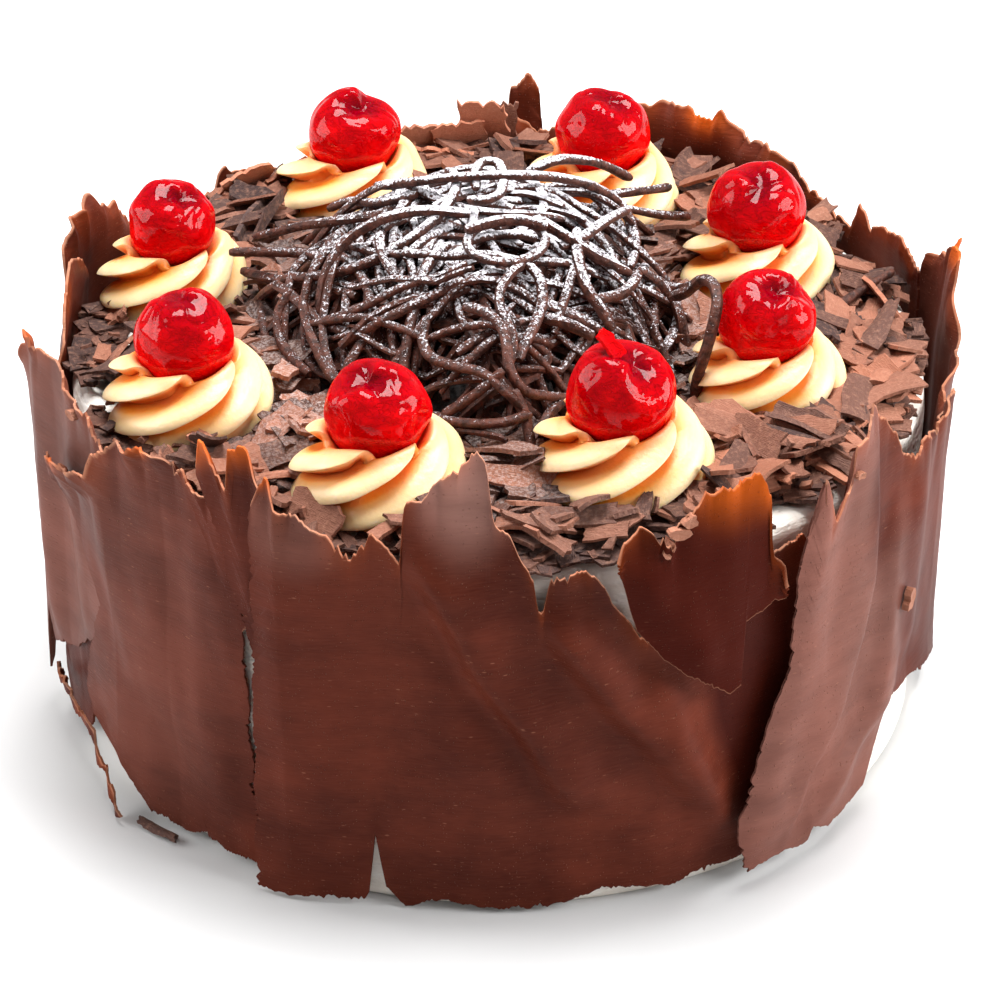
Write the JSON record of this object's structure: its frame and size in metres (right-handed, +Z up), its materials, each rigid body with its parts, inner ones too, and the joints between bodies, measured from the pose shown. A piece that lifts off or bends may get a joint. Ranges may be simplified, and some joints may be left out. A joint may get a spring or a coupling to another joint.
{
  "type": "black forest cake",
  "caption": "Round cream-coated cake wrapped in torn chocolate sheets, topped with piped rosettes, glace cherries, chocolate flakes and a nest of chocolate strands.",
  "frame": {"origin": "centre of the cake's flat underside", "axes": "+Z up out of the cake's top, -Y towards the front as pictured, +X to its right"},
  "size_m": [0.1973, 0.1944, 0.1185],
  "materials": {
    "cream": "whipped cream, matte white",
    "strands": "dark chocolate strands dusted with icing sugar",
    "buttercream": "pale yellow buttercream, satin",
    "cherry": "glossy translucent red glace cherry",
    "chocolate": "milk chocolate sheet, satin with a fine grain"
  },
  "bodies": {
    "root": {"cake": "cream", "strand_nest": "strands", "rosette_1": "buttercream", "rosette_2": "buttercream", "rosette_3": "buttercream", "rosette_4": "buttercream", "rosette_5": "buttercream", "rosette_6": "buttercream", "rosette_7": "buttercream", "rosette_8": "buttercream", "cherry_1": "cherry", "cherry_2": "cherry", "cherry_3": "cherry", "cherry_4": "cherry", "cherry_5": "cherry", "cherry_6": "cherry", "cherry_7": "cherry", "cherry_8": "cherry", "sheet_front": "chocolate", "sheet_front_left": "chocolate", "sheet_left": "chocolate", "sheet_left_low": "chocolate", "strip_left_low": "chocolate", "shard_front_left_low": "chocolate", "shard_front_left_tall": "chocolate", "patch_front_right": "chocolate", "sheet_right": "chocolate", "sheet_right_back": "chocolate", "shard_right_back": "chocolate", "sheet_back_right": "chocolate", "shard_back_tall": "chocolate", "sheet_back": "chocolate", "sheet_back_left": "chocolate", "sheet_left_back": "chocolate", "shard_left_back": "chocolate"}
  },
  "joints": []
}
